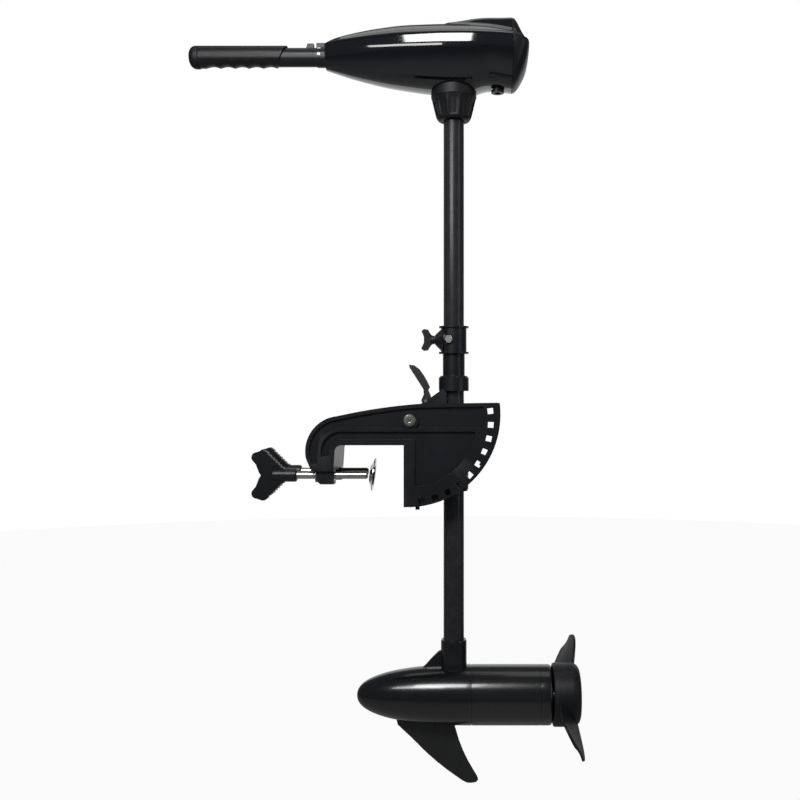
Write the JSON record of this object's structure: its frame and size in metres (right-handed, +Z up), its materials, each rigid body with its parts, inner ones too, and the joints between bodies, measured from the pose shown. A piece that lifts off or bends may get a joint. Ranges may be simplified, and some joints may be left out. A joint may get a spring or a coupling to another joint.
{
  "type": "trolling motor",
  "caption": "Transom-mount electric trolling motor: twist-grip tiller head on a long shaft, tilting clamp bracket and a submerged torpedo motor with propeller and skeg.",
  "frame": {"origin": "centre of the jaw face that bears on the transom, at the height of the two clamp screws' axes", "axes": "+X aft away from the boat, +Y to starboard, +Z up along the shaft"},
  "size_m": [0.5451, 0.1914, 1.0667],
  "materials": {
    "nylon": "black glass-filled nylon, satin with a fine moulded grain",
    "gloss_black": "polished black plastic",
    "black_paint": "semi-gloss black paint on metal",
    "shaft_coat": "satin black coating",
    "stainless": "turned stainless steel",
    "chrome": "polished chrome plate",
    "white_nylon": "natural nylon",
    "copper": "enamelled copper",
    "steel_core": "stacked steel laminations",
    "ferrite": "dark grey ferrite",
    "board": "green circuit board",
    "black_rubber": "soft black rubber",
    "carbon": "carbon brush",
    "phenolic": "brown phenolic sheet",
    "wire_red": "red wire insulation"
  },
  "bodies": {
    "bracket": {"left_side_plate": "nylon", "right_side_plate": "nylon", "bracket_web": "nylon", "screw_inserts": "stainless", "pivot_bolt": "stainless", "pivot_nut": "stainless", "pivot_washers": "stainless"},
    "left_pad": {"left_clamp_pad": "chrome"},
    "left_screw": {"left_clamp_rod": "stainless", "left_clamp_handle": "nylon"},
    "right_pad": {"right_clamp_pad": "chrome"},
    "right_screw": {"right_clamp_rod": "stainless", "right_clamp_handle": "nylon"},
    "arm": {"swivel_arm": "nylon", "pivot_bushes": "white_nylon", "upper_bush": "nylon", "lower_bush": "nylon", "lever_pin": "stainless", "rod_spring": "stainless"},
    "lever": {"release_lever": "nylon"},
    "lock_rod": {"pull_rod": "stainless"},
    "lock": {"lock_bolt": "stainless"},
    "collar": {"depth_collar": "nylon", "collar_screw": "stainless", "captive_nut": "stainless"},
    "knob": {"knob_stud": "stainless", "depth_knob": "nylon"},
    "shaft": {"shaft_tube": "shaft_coat", "motor_leads": "wire_red", "neck_collar": "nylon", "head_base": "gloss_black", "head_cover": "gloss_black", "rear_cap": "nylon", "head_screws": "stainless", "cable_gland": "nylon", "circuit_board": "board", "speed_switch": "nylon", "tiller_tube": "nylon", "dial_ring": "nylon", "motor_nose": "black_paint", "motor_tube": "black_paint", "motor_end_cap": "black_paint", "motor_magnets": "ferrite", "brush_plate": "phenolic", "brushes": "carbon", "motor_bearings": "stainless", "shaft_seals": "black_rubber", "housing_rings": "black_rubber", "through_bolts": "stainless"},
    "throttle_rod": {"drive_rod": "stainless"},
    "grip": {"grip": "nylon", "grip_cap": "nylon"},
    "rotor": {"armature_shaft": "stainless", "armature_core": "steel_core", "armature_windings": "copper", "commutator": "copper", "propeller": "nylon", "drive_pin": "stainless", "prop_nut": "stainless"}
  },
  "joints": [
    {"name": "left_clamp_travel", "type": "slide", "parent": "bracket", "child": "left_pad", "axis": [1, 0, 0], "range_m": [-0.04, 0.024]},
    {"name": "left_clamp_turn", "type": "hinge", "parent": "left_pad", "child": "left_screw", "pos_m": [-0.1, -0.038, 0], "axis": [1, 0, 0], "range_deg": [-5760, 3456]},
    {"name": "right_clamp_travel", "type": "slide", "parent": "bracket", "child": "right_pad", "axis": [1, 0, 0], "range_m": [-0.033, 0.024]},
    {"name": "right_clamp_turn", "type": "hinge", "parent": "right_pad", "child": "right_screw", "pos_m": [-0.1, 0.038, 0], "axis": [1, 0, 0], "range_deg": [-5760, 3456]},
    {"name": "tilt", "type": "hinge", "parent": "bracket", "child": "arm", "pos_m": [0.0081, 0, 0.0748], "axis": [0, -1, 0], "range_deg": [0, 88.2]},
    {"name": "release_lever_turn", "type": "hinge", "parent": "arm", "child": "lever", "pos_m": [0.028, 0, 0.101], "axis": [0, -1, 0], "range_deg": [0, 20]},
    {"name": "pull_rod_travel", "type": "slide", "parent": "arm", "child": "lock_rod", "axis": [0, 0, -1], "range_m": [0, 0.007]},
    {"name": "lock_bolt_travel", "type": "slide", "parent": "arm", "child": "lock", "axis": [0, -1, 0], "range_m": [0, 0.007]},
    {"name": "steering", "type": "hinge", "parent": "arm", "child": "collar", "pos_m": [0.0667, 0, 0], "axis": [0, 0, 1], "continuous": true},
    {"name": "depth_knob_turn", "type": "hinge", "parent": "collar", "child": "knob", "pos_m": [0.04, 0, 0.1863], "axis": [1, 0, 0], "range_deg": [-360, 90]},
    {"name": "depth", "type": "slide", "parent": "collar", "child": "shaft", "axis": [0, 0, 1], "range_m": [-0.12, 0.12]},
    {"name": "throttle_twist", "type": "hinge", "parent": "shaft", "child": "throttle_rod", "pos_m": [-0.2, 0, 0.5815], "axis": [-1, 0, 0], "range_deg": [-60, 100]},
    {"name": "grip_extension", "type": "slide", "parent": "throttle_rod", "child": "grip", "axis": [-1, 0, 0], "range_m": [0, 0.06]},
    {"name": "propeller_spin", "type": "hinge", "parent": "shaft", "child": "rotor", "pos_m": [0.21, 0, -0.3098], "axis": [1, 0, 0], "continuous": true}
  ],
  "couplings": [
    {"joint": "left_clamp_turn", "follows": "left_clamp_travel", "rad_per_m": 2513.3},
    {"joint": "right_clamp_turn", "follows": "right_clamp_travel", "rad_per_m": 2513.3},
    {"joint": "pull_rod_travel", "follows": "release_lever_turn", "m_per_rad": 0.02005},
    {"joint": "lock_bolt_travel", "follows": "release_lever_turn", "m_per_rad": 0.02005}
  ]
}
